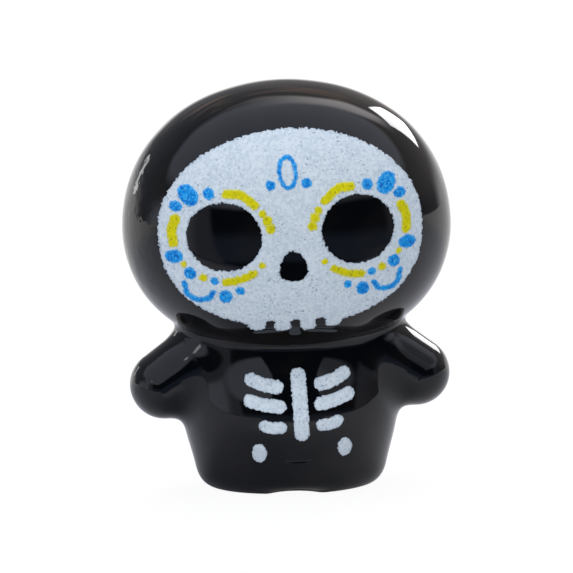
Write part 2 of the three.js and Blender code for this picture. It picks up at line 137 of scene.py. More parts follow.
# The marks around an eye are given outwards and upwards from its middle, in shares of its radius.
# A blue dot has its place, its half width and half height, and how far it leans outwards in degrees.
BLUE_DOTS = (
    ("upper_inner", 0.33, 1.155, 0.152, 0.16, 0),
    ("upper_large", 0.865, 1.12, 0.245, 0.31, 36),
    ("upper_outer", 1.22, 0.82, 0.18, 0.14, 0),
    ("side", 1.341, -0.52, 0.244, 0.187, 0),
    ("lower_outer", 0.94, -0.98, 0.172, 0.172, 0),
    ("lower_small", 0.31, -1.19, 0.11, 0.11, 0),
    ("cheek", 0.045, -1.64, 0.185, 0.185, 0),
    ("cheek_small", -0.36, -1.48, 0.118, 0.118, 0),
)
BLUE_SCROLL = ((1.11, -1.27), (1.02, -1.6), (0.75, -1.73), (0.49, -1.69), (0.37, -1.51))
BLUE_SCROLL_HALF_WIDTH = 0.08

# A yellow dot has its place and its radius.
YELLOW_DOTS = (
    ("brow_1", -1.05, 0.6, 0.11),
    ("brow_2", -1.165, 0.41, 0.14),
    ("brow_3", -1.24, 0.195, 0.135),
    ("side", 1.093, -0.732, 0.088),
    ("lower", 0.61, -1.098, 0.112),
    ("inner", -0.955, -0.78, 0.095),
)

# A yellow stroke has its half width and the places that it runs through.
YELLOW_STROKES = (
    ("brow", 0.122, ((-0.13, 1.14), (-0.51, 1.106), (-0.862, 0.83))),
    ("outer", 0.135, ((1.24, 0.488), (1.36, 0.18), (1.341, -0.154))),
    ("under", 0.113, ((0.02, -1.224), (-0.36, -1.16), (-0.72, -1.0))),
)

# The forehead's loop and dots, also in shares of the eye's radius.
LOOP_OUTER = (0.276, 0.455)
LOOP_INNER = (0.154, 0.333)
FOREHEAD_DOT_OUT = 0.484
FOREHEAD_DOT_DROP = 0.305
FOREHEAD_DOT_RADIUS = 0.138

# White ink lies on the stone, and blue and yellow lie on the white. Heights above the stone.
WHITE_TOP = 0.055
COLOUR_TOP = 0.1

# A film starts at its edge with a share of its height and rises to all of it over a short run.
# Its ink covers fully a little further in.
EDGE_SHARE = 0.35
EDGE_RUN = 0.1
COVER_RUN = 0.16

# The raggedness of an edge is made of grains: their size, and their share of it.
EDGE_GRAINS = ((1.1, 0.2), (0.3, 0.2), (0.15, 0.8), (0.085, 1.7))

# How finely a film is meshed, and how ragged its outline is.
FACE_FILM = (0.059, 0.045)
BONE_FILM = (0.036, 0.03)
ROUGH_FILM = (0.03, 0.035)
NEAT_FILM = (0.03, 0.03)


def eased(share):
    return share * share * (3 - 2 * share)


def soft_min(a, b, width):
    share = np.clip(0.5 + 0.5 * (b - a) / width, 0, 1)
    return b + (a - b) * share - width * share * (1 - share)


def soft_max(a, b, width):
    return -soft_min(-a, -b, width)


def oval_distance(x, y, z, rx, ry, rz):
    near = np.sqrt((x / rx) ** 2 + (y / ry) ** 2 + (z / rz) ** 2)
    slope = np.sqrt((x / rx**2) ** 2 + (y / ry**2) ** 2 + (z / rz**2) ** 2)
    return near * (near - 1) / np.maximum(slope, 1e-9)


def flat_oval(u, v, rx, rz):
    return oval_distance(u, v, 0 * u, rx, rz, 1)


def rounded_corner(across, along, radius):
    """Distance to a rounded corner, from the distances to its two sides."""
    outside = np.hypot(np.maximum(across + radius, 0), np.maximum(along + radius, 0)) - radius
    return outside + np.minimum(np.maximum(across, along) + radius, 0)


def head_distance(x, y, z):
    """An egg form, a little fuller between its axes."""
    rise = np.where(z > HEAD_Z, HEAD_RISE, HEAD_DROP)
    level = (x / HEAD_HALF_WIDTH) ** 2 + (y / HEAD_HALF_DEPTH) ** 2
    upright = ((z - HEAD_Z) / rise) ** 2
    fullness = np.where(z > HEAD_Z, HEAD_FULLNESS_ABOVE, HEAD_FULLNESS_BELOW)
    fuller = 1 + fullness * 4 * level * upright / np.maximum(level + upright, 1e-9) ** 2
    place = (x / fuller, y / fuller, (z - HEAD_Z) / fuller)
    return oval_distance(*place, HEAD_HALF_WIDTH, HEAD_HALF_DEPTH, rise) * fuller


def body_distance(x, y, z):
    """The trunk: widest at the chest, leaning in at the neck, with a cleft between the feet."""
    share = eased(np.clip(z / CHEST_Z, 0, 1))
    lean = eased(np.clip((z - CHEST_Z) / (NECK_Z - CHEST_Z), 0, 1))
    width = BASE_HALF_WIDTH + (CHEST_HALF_WIDTH - BASE_HALF_WIDTH) * share
    depth = BASE_HALF_DEPTH + (CHEST_HALF_DEPTH - BASE_HALF_DEPTH) * share
    depth = depth - (CHEST_HALF_DEPTH - NECK_HALF_DEPTH) * lean
    side = oval_distance(x, y, 0 * z, width, depth, 1)
    foot = soft_max(side, -z, BASE_EDGE)
    capped = np.maximum(foot, z - HEAD_Z)
    cleft = oval_distance(x, y + BASE_HALF_DEPTH, z, CLEFT_HALF_WIDTH, CLEFT_DEPTH, CLEFT_HEIGHT)
    return soft_max(capped, -cleft, CLEFT_BLEND)


def arm_distance(x, y, z):
    """Both arms: round bars from the shoulders to the hands, the left one a little higher."""
    along_x = HAND_X - SHOULDER_X
    along_z = HAND_Z - SHOULDER_Z
    from_x = np.abs(x) - SHOULDER_X
    from_z = z - SHOULDER_Z - np.where(x > 0, LEFT_ARM_LIFT, 0)
    share = np.clip((from_x * along_x + from_z * along_z) / (along_x**2 + along_z**2), 0, 1)
    radius = SHOULDER_RADIUS + (HAND_RADIUS - SHOULDER_RADIUS) * share
    off_y = (y - ARM_Y) / ARM_DEPTH_RATIO
    off = np.sqrt((from_x - share * along_x) ** 2 + off_y**2 + (from_z - share * along_z) ** 2)
    return off - radius


wave_draws = np.random.default_rng(31)
WAVE_WAYS = wave_draws.normal(size=(WAVE_COUNT, 3))
WAVE_WAYS /= np.linalg.norm(WAVE_WAYS, axis=1, keepdims=True)
WAVE_LENGTHS = wave_draws.uniform(*WAVE_LENGTH_RANGE, size=WAVE_COUNT)
WAVE_STARTS = wave_draws.uniform(0, 2 * math.pi, size=WAVE_COUNT)


def polish_waves(x, y, z):
    """How far hand polishing has sunk the surface, in millimetres, never above the true form."""
    total = 0 * x
    for way, length, start in zip(WAVE_WAYS, WAVE_LENGTHS, WAVE_STARTS):
        run = (x * way[0] + y * way[1] + z * way[2]) * 2 * math.pi / length
        total = total + WAVE_DEPTH_SHARE * length * (1 + np.sin(run + start))
    return total


def trunk_distance(x, y, z):
    """Head and body without the arms, which carry no ink."""
    both = soft_min(body_distance(x, y, z), head_distance(x, y, z), NECK_BLEND)
    return both + polish_waves(x, y, z)


def figure_distance(x, y, z):
    with_arms = soft_min(body_distance(x, y, z), arm_distance(x, y, z), ARM_BLEND)
    both = soft_min(with_arms, head_distance(x, y, z), NECK_BLEND)
    return np.maximum(both + polish_waves(x, y, z), -z)


def slope_of(distance, points):
    step = 0.002
    x, y, z = points.T
    across = distance(x + step, y, z) - distance(x - step, y, z)
    deep = distance(x, y + step, z) - distance(x, y - step, z)
    up = distance(x, y, z + step) - distance(x, y, z - step)
    return np.stack([across, deep, up], axis=1) / (2 * step)


def settle(points, distance):
    """Moves points along the slope of a form until they lie on its surface."""
    for _ in range(SETTLE_STEPS):
        slope = slope_of(distance, points)
        here = distance(*points.T)
        length = np.maximum((slope**2).sum(1), 1e-6)
        points = points - slope * (STEP_SHARE * here / length)[:, None]
    points[:, 2] = np.maximum(points[:, 2], 0)
    return points


def add_piece(name, mesh, material, node):
    piece = bpy.data.objects.new(name, mesh)
    bpy.context.collection.objects.link(piece)
    mesh.materials.append(material)
    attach(piece, "root")
    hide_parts(node)


def stone_mesh():
    """A fine even skin over the figure, laid on the smooth form."""
    rough = bpy.data.objects.new("rough_stone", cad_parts["figure"].data.copy())
    bpy.context.collection.objects.link(rough)
    remesh = rough.modifiers.new("even_skin", "REMESH")
    remesh.mode = "VOXEL"
    remesh.voxel_size = SKIN_PITCH * MM
    graph = bpy.context.evaluated_depsgraph_get()
    mesh = bpy.data.meshes.new_from_object(rough.evaluated_get(graph))
    bpy.data.objects.remove(rough)
    mesh.materials.clear()
    points = np.empty(3 * len(mesh.vertices), dtype=np.float32)
    mesh.vertices.foreach_get("co", points)
    points = settle(points.reshape(-1, 3).astype(float) / MM, figure_distance)
    mesh.vertices.foreach_set("co", (points * MM).astype(np.float32).ravel())
    mesh.polygons.foreach_set("use_smooth", np.ones(len(mesh.polygons), dtype=bool))
    mesh.update()
    slope = slope_of(figure_distance, points)
    slope /= np.linalg.norm(slope, axis=1, keepdims=True)
    on_base = points[:, 2] < 1e-4
    slope[on_base] = (0, 0, -1)
    mesh.normals_split_custom_set_from_vertices([tuple(way) for way in slope])
    return mesh


NOISE_SIDE = 256
NOISE_TABLE = np.random.default_rng(7).random((NOISE_SIDE, NOISE_SIDE))
SHIFT_ACROSS = 17.3
SHIFT_UP = 41.9


def grain(u, v, size, shift):
    """Smooth random values between -1 and 1 that change over about the given size."""
    a = u / size + shift * SHIFT_ACROSS
    b = v / size + shift * SHIFT_UP
    col = np.floor(a).astype(int)
    row = np.floor(b).astype(int)
    across = eased(a - col)
    up = eased(b - row)

    def at(i, j):
        return NOISE_TABLE[(row + j) % NOISE_SIDE, (col + i) % NOISE_SIDE]

    low = at(0, 0) * (1 - across) + at(1, 0) * across
    high = at(0, 1) * (1 - across) + at(1, 1) * across
    return 2 * (low * (1 - up) + high * up) - 1


# A mark is the flat outline of a patch of ink: its distance function, and the range that it lies in.
def oval_mark(x, z, rx, rz, lean=0.0):
    """An oval around a place, turned by an angle in degrees that leans its top towards +X."""
    cos = math.cos(math.radians(lean))
    sin = math.sin(math.radians(lean))

    def distance(u, v):
        across = (u - x) * cos - (v - z) * sin
        along = (u - x) * sin + (v - z) * cos
        return flat_oval(across, along, rx, rz)

    reach_x = math.hypot(rx * cos, rz * sin)
    reach_z = math.hypot(rx * sin, rz * cos)
    return distance, (x - reach_x, x + reach_x, z - reach_z, z + reach_z)


def ring_mark(x, z, rx, rz, inner_x, inner_z):
    def distance(u, v):
        outer = flat_oval(u - x, v - z, rx, rz)
        inner = flat_oval(u - x, v - z, inner_x, inner_z)
        return np.maximum(outer, -inner)

    return distance, (x - rx, x + rx, z - rz, z + rz)


def smooth_line(places):
    """Points on a smooth line through the given places."""
    line = np.array(places, dtype=float)
    if len(line) < 3:
        return line
    padded = np.vstack([line[0], line, line[-1]])
    points = []
    for i in range(len(line) - 1):
        before, start, end, after = padded[i : i + 4]
        pull = 0.5 * (end - before)
        push = 0.5 * (after - start)
        is_last = i == len(line) - 2
        for share in np.linspace(0, 1, LINE_STEPS + 1)[: LINE_STEPS + is_last]:
            squared = share * share
            cubed = squared * share
            towards = (2 * cubed - 3 * squared + 1) * start + (cubed - 2 * squared + share) * pull
            points.append(towards + (3 * squared - 2 * cubed) * end + (cubed - squared) * push)
    return np.array(points)


def stroke_mark(places, half):
    """A stroke with round ends along a smooth line."""
    line = smooth_line(places)

    def distance(u, v):
        best = np.full(np.shape(u), 1e9)
        for start, end in zip(line[:-1], line[1:]):
            way = end - start
            share = np.clip(((u - start[0]) * way[0] + (v - start[1]) * way[1]) / (way @ way), 0, 1)
            off = np.hypot(u - start[0] - share * way[0], v - start[1] - share * way[1])
            best = np.minimum(best, off)
        return best - half

    low = line.min(0) - half
    high = line.max(0) + half
    return distance, (low[0], high[0], low[1], high[1])


def nose_distance(u, v):
    """A pear form, narrower above and nearly flat below."""
    up = (v - NOSE_Z) / NOSE_HALF_HEIGHT
    narrow = 1 - NOSE_NARROWING * np.clip(up, -1, 1)
    up = np.where(up < 0, -np.abs(up) ** NOSE_FLATNESS, up)
    return flat_oval(u / narrow, up * NOSE_HALF_HEIGHT, NOSE_HALF_WIDTH, NOSE_HALF_HEIGHT)


def face_distance(u, v):
    upper = flat_oval(u - FACE_X, v - FACE_Z, FACE_HALF_WIDTH, FACE_HALF_HEIGHT)
    a = np.abs(u - FACE_X) / FACE_HALF_WIDTH
    b = np.abs(v - FACE_Z) / FACE_HALF_HEIGHT
    near = (a**JAW_SQUARENESS + b**JAW_SQUARENESS) ** (1 / JAW_SQUARENESS)
    lower = (near - 1) * np.where(a > b, FACE_HALF_WIDTH, FACE_HALF_HEIGHT) * JAW_STEEPNESS
    form = np.where(v > FACE_Z, upper, lower)
    for place in (-1.5, -0.5, 0.5, 1.5):
        end_z = TOOTH_END_Z + OUTER_TOOTH_RISE * (place * place - 0.25)
        across = np.abs(u - place * TOOTH_PITCH) - TOOTH_HALF_WIDTH
        along = np.abs(v - 0.5 * (end_z + TOOTH_ROOT_Z)) - 0.5 * (TOOTH_ROOT_Z - end_z)
        tooth = rounded_corner(across, along, TOOTH_ROUNDING)
        form = soft_min(form, tooth, TOOTH_BLEND + OUTER_TOOTH_BLEND * abs(place))
    for place in (-1, 0, 1):
        across = np.abs(u - place * TOOTH_PITCH) - (0.5 * TOOTH_PITCH - TOOTH_HALF_WIDTH)
        form = np.maximum(form, -rounded_corner(across, v - GAP_TOP_Z, GAP_ROUNDING))
    for side in (1, -1):
        eye = flat_oval(u - side * EYE_X, v - EYE_Z, EYE_HALF_WIDTH, EYE_HALF_HEIGHT)
        form = np.maximum(form, -eye)
    return np.maximum(form, -nose_distance(u, v))


def face_mark():
    """The white face: round above, squarer at the jaw, four teeth, open at the eyes and the nose."""
    low_u = FACE_X - FACE_HALF_WIDTH
    high_u = FACE_X + FACE_HALF_WIDTH
    return face_distance, (low_u, high_u, TOOTH_END_Z, FACE_Z + FACE_HALF_HEIGHT)


def lift(u, v, level):
    """Places of flat print points on the stone's front, at a height above it."""
    low_v = v - PRINT_PIVOT_Z
    x = u * math.cos(PRINT_TURN) - low_v * math.sin(PRINT_TURN)
    z = PRINT_PIVOT_Z + u * math.sin(PRINT_TURN) + low_v * math.cos(PRINT_TURN)
    y = np.full(np.shape(x), -HEAD_HALF_DEPTH - 1.0)
    for _ in range(LIFT_STEPS):
        y = y + STEP_SHARE * (trunk_distance(x, y, z) - level)
    return np.stack([x, y, z], axis=1)


def grid_triangles(cols, rows):
    corner = (np.arange(rows - 1)[:, None] * cols + np.arange(cols - 1)[None, :]).ravel()
    return np.concatenate([
        np.stack([corner, corner + 1, corner + cols + 1], axis=1),
        np.stack([corner, corner + cols + 1, corner + cols], axis=1),
    ])


def cut_triangles(triangles, form):
    """Keeps the part of the triangles where a form is below zero.

    New points lie on the cut edges, each between two ends, and are numbered after the old points.
    """
    inside = form < 0
    count = inside[triangles].sum(1)

    def turned(chosen, first):
        start = np.argmax(inside[chosen] == first, axis=1)
        return np.stack([chosen[np.arange(len(chosen)), (start + k) % 3] for k in range(3)], axis=1)

    tips = turned(triangles[count == 1], True)
    wedges = turned(triangles[count == 2], False)
    cuts = np.concatenate([tips[:, [0, 1]], tips[:, [0, 2]], wedges[:, [0, 1]], wedges[:, [0, 2]]])
    ends, where = np.unique(np.sort(cuts, axis=1), axis=0, return_inverse=True)
    share = form[ends[:, 0]] / (form[ends[:, 0]] - form[ends[:, 1]])
    new_points = where.ravel() + len(form)
    splits = np.cumsum([len(tips), len(tips), len(wedges)])
    tip_a, tip_b, wedge_a, wedge_b = np.split(new_points, splits)
    faces = np.concatenate([
        triangles[count == 3],
        np.stack([tips[:, 0], tip_a, tip_b], axis=1),
        np.stack([wedge_a, wedges[:, 1], wedges[:, 2]], axis=1),
        np.stack([wedge_a, wedges[:, 2], wedge_b], axis=1),
    ])
    return faces, ends, np.clip(share, 0.02, 0.98)


def film_outline(mark, pitch, ragged, seed):
    """The flat points and faces inside a ragged outline, and how far each point lies from its edge."""
    distance, (low_u, high_u, low_v, high_v) = mark
    margin = 3 * ragged + 2 * pitch
    us = np.arange(low_u - margin, high_u + margin, pitch)
    vs = np.arange(low_v - margin, high_v + margin, pitch)
    u, v = (grid.ravel() for grid in np.meshgrid(us, vs))
    form = distance(u, v)
    for size, share in EDGE_GRAINS:
        form = form + ragged * share * grain(u, v, size, seed + size)
    faces, ends, share = cut_triangles(grid_triangles(len(us), len(vs)), form)
    first, last = ends.T
    u = np.concatenate([u, u[first] + share * (u[last] - u[first])])
    v = np.concatenate([v, v[first] + share * (v[last] - v[first])])
    depth = np.concatenate([np.maximum(-form, 0), np.zeros(len(ends))])
    used, faces = np.unique(faces, return_inverse=True)
    return u[used], v[used], depth[used], faces.reshape(-1, 3)


def film_mesh(name, outline, bottom, top):
    """A film of ink with its own thickness, that thins out at its edge and follows the stone."""
    u, v, depth, faces = outline
    run = np.clip(depth / EDGE_RUN, 0, 1)
    rounded = np.sqrt(run * (2 - run))
    height = bottom + (top - bottom) * (EDGE_SHARE + (1 - EDGE_SHARE) * rounded)
    upper = lift(u, v, height)
    lower = lift(u, v, bottom + 0 * height)
    edges = np.concatenate([faces[:, [0, 1]], faces[:, [1, 2]], faces[:, [2, 0]]]).tolist()
    known = set(map(tuple, edges))
    rim = np.array([edge for edge in edges if (edge[1], edge[0]) not in known])
    count = len(u)
    walls = np.stack([rim[:, 1], rim[:, 0], rim[:, 0] + count, rim[:, 1] + count], axis=1)
    solid = faces.tolist() + (faces[:, ::-1] + count).tolist() + walls.tolist()
    mesh = bpy.data.meshes.new(name)
    mesh.from_pydata((np.concatenate([upper, lower]) * MM).tolist(), [], solid)
    smooth = np.zeros(len(solid), dtype=bool)
    smooth[: len(faces)] = True
    mesh.polygons.foreach_set("use_smooth", smooth)
    body = mesh.attributes.new("ink_body", "FLOAT", "POINT")
    cover = np.clip(depth / COVER_RUN, 0, 1)
    body.data.foreach_set("value", np.tile(cover, 2).astype(np.float32))
    mesh.update()
    return mesh


class Nodes:
    """Builds a node tree. Values may be numbers, colours or the outputs of other nodes."""

    def __init__(self, tree):
        self.tree = tree
        tree.nodes.clear()

    def add(self, kind, inputs=None, **settings):
        node = self.tree.nodes.new(kind)
        for name, value in settings.items():
            setattr(node, name, value)
        for name, value in (inputs or {}).items():
            if isinstance(value, bpy.types.NodeSocket):
                self.tree.links.new(value, node.inputs[name])
            else:
                node.inputs[name].default_value = value
        return node

    def place_mm(self):
        place = self.add("ShaderNodeTexCoord").outputs["Object"]
        return self.add("ShaderNodeVectorMath", {0: place, "Scale": 1 / MM}, operation="SCALE").outputs[0]

    def parts(self, way):
        node = self.add("ShaderNodeSeparateXYZ", {0: way})
        return (node.outputs[name] for name in "XYZ")

    def noise(self, place, scale, detail=2.0, roughness=0.5, bend=0.0):
        inputs = {"Vector": place, "Scale": scale, "Detail": detail}
        inputs.update({"Roughness": roughness, "Distortion": bend})
        return self.add("ShaderNodeTexNoise", inputs).outputs["Fac"]

    def ramp(self, value, low, high, to_low=0.0, to_high=1.0):
        inputs = {"Value": value, "From Min": low, "From Max": high, "To Min": to_low, "To Max": to_high}
        return self.add("ShaderNodeMapRange", inputs, interpolation_type="SMOOTHSTEP").outputs["Result"]

    def math(self, operation, a, b=0.0, c=0.0):
        return self.add("ShaderNodeMath", {0: a, 1: b, 2: c}, operation=operation).outputs[0]

    def product(self, first, *others):
        for other in others:
            first = self.math("MULTIPLY", first, other)
        return first

    def vector(self, operation, a, b):
        node = self.add("ShaderNodeVectorMath", {0: a, 1: b}, operation=operation)
        return node.outputs["Vector" if operation == "MULTIPLY" else "Value"]

    def mix(self, share, a, b):
        node = self.add("ShaderNodeMix", data_type="RGBA")
        for name, value in (("Factor", share), ("A", a), ("B", b)):
            socket = [s for s in node.inputs if s.name == name and s.enabled][0]
            if isinstance(value, bpy.types.NodeSocket):
                self.tree.links.new(value, socket)
            else:
                socket.default_value = value if name == "Factor" else (*value, 1.0)
        return [s for s in node.outputs if s.enabled][0]

    def bump(self, height, distance, strength, under=None):
        inputs = {"Height": height, "Distance": distance, "Strength": strength}
        if under:
            inputs["Normal"] = under
        return self.add("ShaderNodeBump", inputs).outputs["Normal"]


def new_material(name):
    material = bpy.data.materials.new(name)
    material.use_nodes = True
    return material, Nodes(material.node_tree)


def surface(nodes, inputs):
    shader = nodes.add("ShaderNodeBsdfPrincipled", inputs)
    nodes.add("ShaderNodeOutputMaterial", {"Surface": shader.outputs[0]})


STONE_COLOUR = (0.0012, 0.0014, 0.0019)
STONE_CLOUD_COLOUR = (0.0034, 0.003, 0.0029)
STONE_IOR = 1.42
SCUFF_DEPTH = 0.02

# A level nick low on the front. It is a round spot in a space that is narrowed across.
NICK_NARROWING = (0.14, 1.0, 1.0)
NICK_MIDDLE = (0.02, -5.7, 2.7)
NICK_RADIUS = 0.18
NICK_DEPTH = 0.11

# The uneven grinding of the figure's right flank.
FLANK_START_X = -7.5
FLANK_FULL_X = -9.5
FLANK_DEPTH = 0.03


def stone_material():
    """Polished black stone with faint clouds, smears and dust."""
    material, nodes = new_material("black_stone")
    place = nodes.place_mm()
    cloud = nodes.ramp(nodes.noise(place, 0.35, 3.0), 0.4, 0.65)
    colour = nodes.mix(cloud, STONE_COLOUR, STONE_CLOUD_COLOUR)
    smear = nodes.noise(place, 0.6, 4.0, 0.6)
    dust = nodes.ramp(nodes.noise(place, 5.0, 1.0), 0.72, 0.78, 0.0, 0.05)
    rough = nodes.math("ADD", nodes.ramp(smear, 0.3, 0.75, 0.02, 0.055), dust)
    scuff = nodes.bump(nodes.noise(place, 9.0, 3.0, 0.6), SCUFF_DEPTH * MM, 0.03)
    across, _, _ = nodes.parts(place)
    flank = nodes.ramp(across, FLANK_START_X, FLANK_FULL_X)
    ground = nodes.product(nodes.noise(place, 1.0, 2.0, 0.6), flank)
    narrowed = nodes.vector("MULTIPLY", place, NICK_NARROWING)
    nick = nodes.ramp(nodes.vector("DISTANCE", narrowed, NICK_MIDDLE), 0.0, NICK_RADIUS)
    uneven = nodes.bump(ground, FLANK_DEPTH * MM, 1.0, scuff)
    surface(nodes, {
        "Base Color": colour,
        "Roughness": rough,
        "IOR": STONE_IOR,
        "Normal": nodes.bump(nick, NICK_DEPTH * MM, 1.0, uneven),
    })
    return material


INK_IOR = 1.25
INK_GRAIN_DEPTH = 0.02
INK_LOOKS = {
    "white_ink": {
        "main": (0.49, 0.57, 0.62),
        "cloudy": (0.63, 0.69, 0.72),
        "speck": (0.2, 0.25, 0.32),
        "thin": (0.37, 0.43, 0.49),
        "speck_share": 0.36,
        "roughness": 0.75,
    },
    "blue_ink": {
        "main": (0.001, 0.11, 0.47),
        "cloudy": (0.001, 0.28, 0.7),
        "speck": (0.06, 0.42, 0.76),
        "thin": (0.12, 0.43, 0.74),
        "speck_share": 0.47,
        "roughness": 0.7,
    },
    "yellow_ink": {
        "main": (0.67, 0.61, 0.001),
        "cloudy": (0.52, 0.48, 0.001),
        "speck": (0.2, 0.19, 0.01),
        "thin": (0.64, 0.62, 0.13),
        "speck_share": 0.39,
        "roughness": 0.7,
    },
}


def ink_material(name, main, cloudy, speck, thin, speck_share, roughness):
    """Dried ink of fine droplets: cloudy colour, pale or dark specks, thin at the edge."""
    material, nodes = new_material(name)
    place = nodes.place_mm()
    cloud = nodes.product(nodes.noise(place, 1.1, 3.0), 0.3)
    mottle = nodes.math("MULTIPLY_ADD", nodes.noise(place, 4.5, 2.0, 0.6), 0.7, cloud)
    colour = nodes.mix(nodes.ramp(mottle, 0.36, 0.64), main, cloudy)
    crowd = nodes.ramp(nodes.noise(place, 0.45, 1.0), 0.35, 0.7, 0.02, -0.04)
    droplet = nodes.math("SUBTRACT", nodes.noise(place, 7.0, 1.0, 0.4, 0.8), crowd)
    low = 1 - speck_share
    specks = nodes.ramp(droplet, low, low + 0.1, 0.0, 0.8)
    colour = nodes.mix(specks, colour, speck)
    body = nodes.add("ShaderNodeAttribute", attribute_name="ink_body").outputs["Fac"]
    colour = nodes.mix(nodes.ramp(body, 0.1, 0.85, 0.7, 0.0), colour, thin)
    fine = nodes.noise(place, 14.0, 2.0, 0.6)
    surface(nodes, {
        "Base Color": colour,
        "Roughness": nodes.ramp(fine, 0.3, 0.7, roughness - 0.08, roughness + 0.08),
        "IOR": INK_IOR,
        "Normal": nodes.bump(fine, INK_GRAIN_DEPTH * MM, 0.35),
    })
    return material


stone = stone_material()
inks = {name: ink_material(name, **look) for name, look in INK_LOOKS.items()}
ink_numbers = itertools.count(1)


def add_ink(node, ink, mark, film):
    bottom, top = (0.0, WHITE_TOP) if ink == "white_ink" else (WHITE_TOP, COLOUR_TOP)
    outline = film_outline(mark, *film, 3 * next(ink_numbers))
    mesh = film_mesh(node + "_film", outline, bottom, top)
    add_piece("ink_" + node, mesh, inks[ink], node)


def rib_line(side, drop, inner, outer, rise):
    z = RIB_TOP_Z - drop
    return [
        (CHEST_PRINT_X + side * inner, z - 0.5 * rise),
        (CHEST_PRINT_X + side * 0.5 * (inner + outer), z - RIB_SAG),
        (CHEST_PRINT_X + side * outer, z + 0.5 * rise),
    ]


def by_eye(side, out, up):
    return side * (EYE_X + out * EYE_RADIUS), EYE_Z + up * EYE_RADIUS


def dot_mark(place, radius):
    return oval_mark(*place, radius * EYE_RADIUS, radius * EYE_RADIUS)


def add_half_print(hand, side):
    """The ribs, the hip mark and the ornament on one side of the figure."""
    for name, drop, inner, outer, rise, half in RIBS:
        rib = stroke_mark(rib_line(side, drop, inner, outer, rise), half)
        add_ink(f"{name}_{hand}", "white_ink", rib, BONE_FILM)
    hip = oval_mark(CHEST_PRINT_X + side * HIP_X, HIP_Z, HIP_HALF_WIDTH, HIP_HALF_HEIGHT)
    add_ink(f"hip_{hand}", "white_ink", hip, BONE_FILM)
    for name, out, up, rx, rz, lean in BLUE_DOTS:
        spot = oval_mark(*by_eye(side, out, up), rx * EYE_RADIUS, rz * EYE_RADIUS, side * lean)
        add_ink(f"blue_dot_{name}_{hand}", "blue_ink", spot, ROUGH_FILM)
    scroll_line = [by_eye(side, *place) for place in BLUE_SCROLL]
    scroll = stroke_mark(scroll_line, BLUE_SCROLL_HALF_WIDTH * EYE_RADIUS)
    add_ink(f"blue_scroll_{hand}", "blue_ink", scroll, NEAT_FILM)
    for name, out, up, radius in YELLOW_DOTS:
        spot = dot_mark(by_eye(side, out, up), radius)
        add_ink(f"yellow_dot_{name}_{hand}", "yellow_ink", spot, NEAT_FILM)
    for name, half, line in YELLOW_STROKES:
        stroke = stroke_mark([by_eye(side, *place) for place in line], half * EYE_RADIUS)
        add_ink(f"yellow_{name}_{hand}", "yellow_ink", stroke, ROUGH_FILM)
    dot_place = (side * FOREHEAD_DOT_OUT * EYE_RADIUS, FOREHEAD_Z - FOREHEAD_DOT_DROP * EYE_RADIUS)
    add_ink(f"forehead_dot_{hand}", "blue_ink", dot_mark(dot_place, FOREHEAD_DOT_RADIUS), ROUGH_FILM)


add_piece("stone_figure", stone_mesh(), stone, "figure")
add_ink("face_white", "white_ink", face_mark(), FACE_FILM)
sternum_line = [(CHEST_PRINT_X, STERNUM_TOP_Z), (CHEST_PRINT_X, STERNUM_LOW_Z)]
add_ink("sternum", "white_ink", stroke_mark(sternum_line, STERNUM_HALF_WIDTH), BONE_FILM)
for hand, side in (("left", 1), ("right", -1)):
    add_half_print(hand, side)
loop_sizes = [share * EYE_RADIUS for share in (*LOOP_OUTER, *LOOP_INNER)]
add_ink("forehead_loop", "blue_ink", ring_mark(0, FOREHEAD_Z, *loop_sizes), ROUGH_FILM)

# The floor in millimetres. Its front edge has a notch before the figure.
FLOOR_HALF_WIDTH = 900
FLOOR_BACK_Y = 1200
FLOOR_FRONT_Y = -38
NOTCH_Y = -26
NOTCH_HALF_WIDTH = 8
NOTCH_MOUTH_HALF_WIDTH = 20
FLOOR_FADE = 7
PAPER_COLOUR = (0.57, 0.57, 0.6)
PAPER_GLOW = 1.07
PAPER_GLOW_SHARE = 0.88

# What reflections show of the studio around the figure. Left and right here are the picture's.
FRONT_DARK = (0.015, 0.024, 0.04)
FRONT_GLOW = (0.16, 0.21, 0.32)
LEFT_SIDE = (0.35, 0.37, 0.45)
FAR_LEFT_SIDE = (0.95, 0.98, 1.15)
RIGHT_SIDE = (0.31, 0.32, 0.38)
REAR_SIDES = (0.2, 0.2, 0.23)
WHITE_SWEEP = (1.1, 1.1, 1.1)
WALL_LEFT = (0.22, 0.23, 0.26)
WALL_RIGHT = (0.36, 0.34, 0.34)
SHELVES = (0.56, 0.45, 0.4)
CEILING_LEFT = (0.86, 0.93, 1.12)
CEILING_RIGHT = (1.0, 1.06, 1.24)
CEILING_SHADE = (0.5, 0.53, 0.62)
CEILING_CARD = (2.6, 2.5, 2.5)
WINDOW = (8.0, 8.1, 8.3)
WINDOW_CORNERS = ((158, 20), (155, 14), (137.6, 16.7), (136, 32), (151.5, 32.5))


